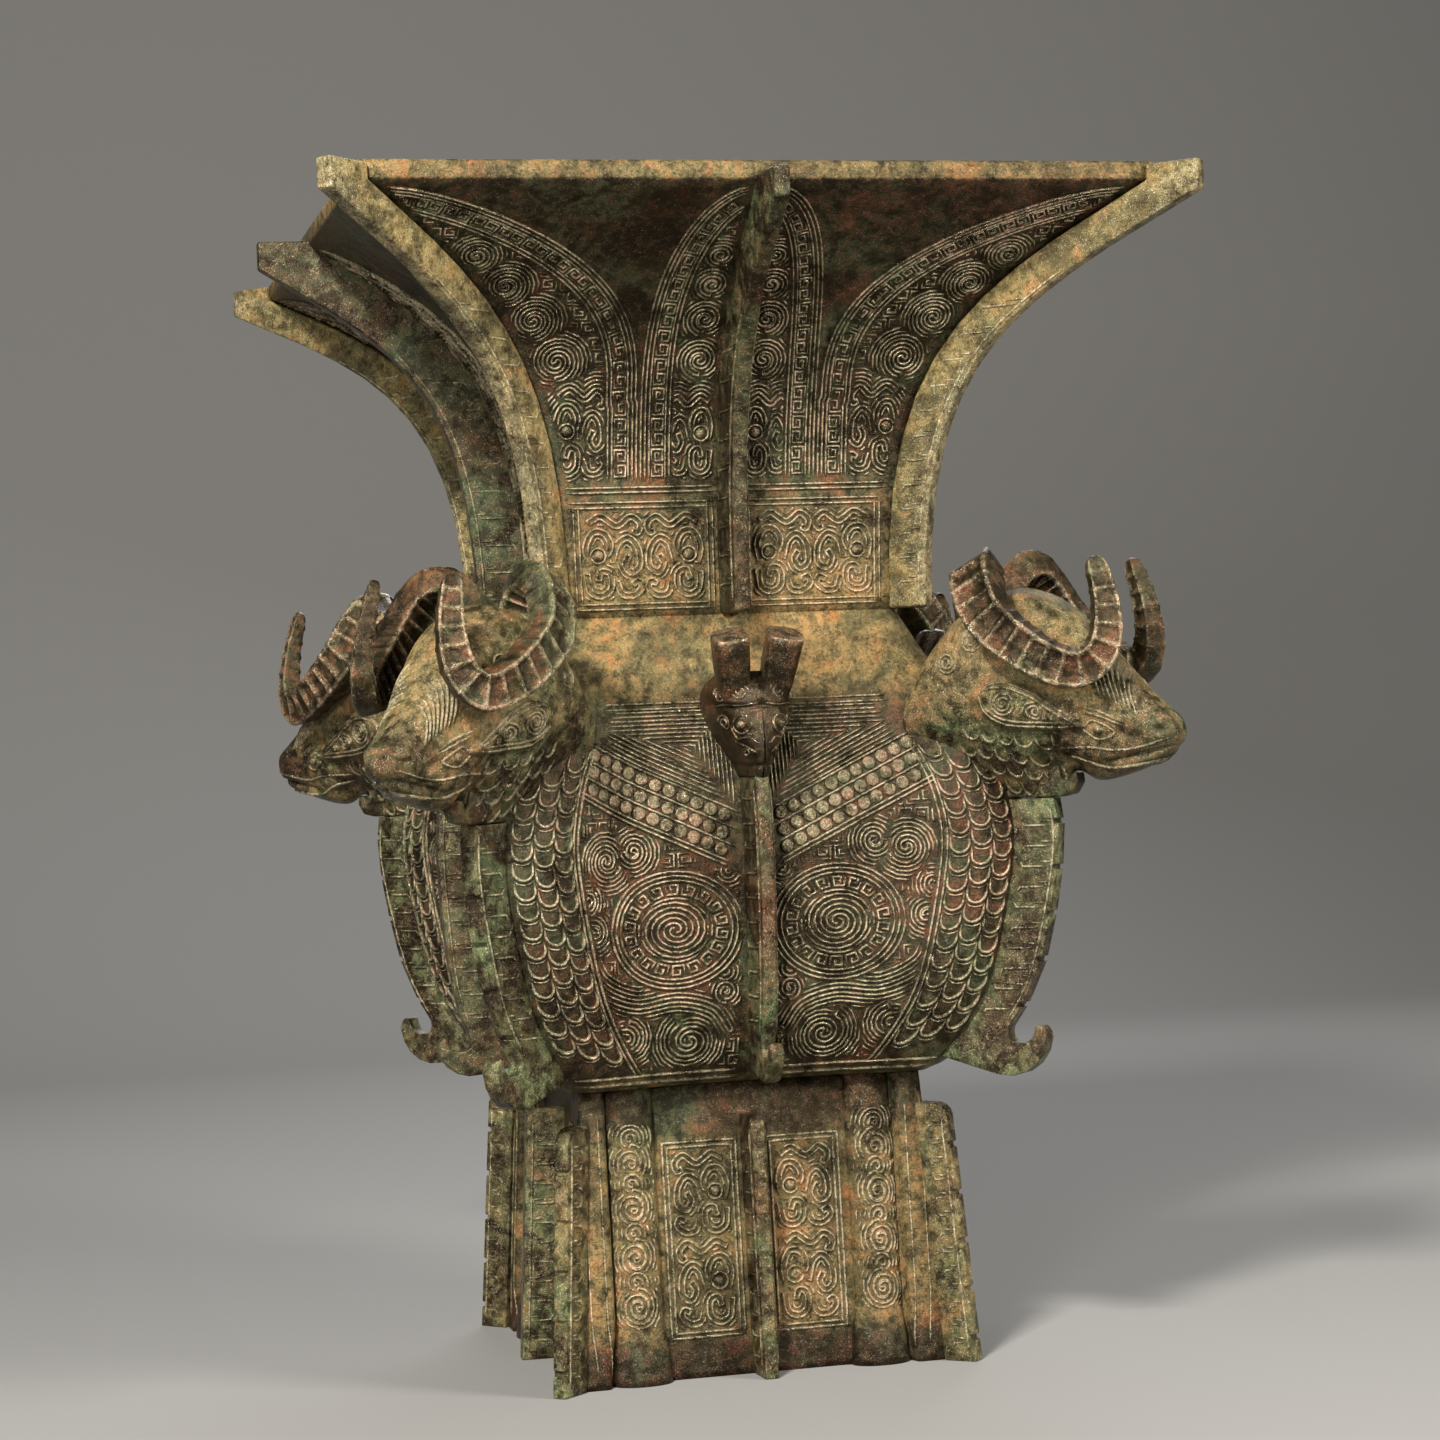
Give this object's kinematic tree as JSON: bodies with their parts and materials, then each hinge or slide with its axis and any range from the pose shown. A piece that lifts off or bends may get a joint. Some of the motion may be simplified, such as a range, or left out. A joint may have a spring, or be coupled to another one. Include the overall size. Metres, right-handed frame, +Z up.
{
  "type": "bronze four-ram zun",
  "caption": "Square ritual wine vessel with a flared mouth, ram heads with curled horns at the corners, hooked flanges and a hollow square foot.",
  "frame": {"origin": "centre of the foot, on the ground", "axes": "+Z up along the vessel's axis, -Y out of the front face, +X to the right"},
  "size_m": [0.4354, 0.4354, 0.583],
  "materials": {
    "bronze_body": "aged, olive brown patina",
    "bronze_flange": "aged, dark patina",
    "bronze_edge": "aged, green patina with worn edges",
    "bronze_horn": "aged, brown and rubbed smooth"
  },
  "bodies": {
    "root": {"neck": "bronze_body", "belly": "bronze_body", "foot": "bronze_body", "neck_flange_front": "bronze_flange", "neck_flange_right": "bronze_flange", "neck_flange_back": "bronze_flange", "neck_flange_left": "bronze_flange", "neck_corner_flange_front_right": "bronze_edge", "neck_corner_flange_back_right": "bronze_edge", "neck_corner_flange_back_left": "bronze_edge", "neck_corner_flange_front_left": "bronze_edge", "belly_flange_front": "bronze_flange", "belly_flange_right": "bronze_flange", "belly_flange_back": "bronze_flange", "belly_flange_left": "bronze_flange", "chest_flange_front_right": "bronze_edge", "chest_flange_back_right": "bronze_edge", "chest_flange_back_left": "bronze_edge", "chest_flange_front_left": "bronze_edge", "foot_flange_front": "bronze_flange", "foot_flange_right": "bronze_flange", "foot_flange_back": "bronze_flange", "foot_flange_left": "bronze_flange", "foot_corner_flange_front_right": "bronze_edge", "foot_corner_flange_back_right": "bronze_edge", "foot_corner_flange_back_left": "bronze_edge", "foot_corner_flange_front_left": "bronze_edge", "ram_head_front_right": "bronze_body", "ram_head_back_right": "bronze_body", "ram_head_back_left": "bronze_body", "ram_head_front_left": "bronze_body", "dragon_head_front": "bronze_horn", "dragon_head_right": "bronze_horn", "dragon_head_back": "bronze_horn", "dragon_head_left": "bronze_horn", "ram_horn_front_right_by_right": "bronze_horn", "ram_horn_front_right_by_front": "bronze_horn", "ram_horn_back_right_by_back": "bronze_horn", "ram_horn_back_right_by_right": "bronze_horn", "ram_horn_back_left_by_left": "bronze_horn", "ram_horn_back_left_by_back": "bronze_horn", "ram_horn_front_left_by_front": "bronze_horn", "ram_horn_front_left_by_left": "bronze_horn"}
  },
  "joints": []
}
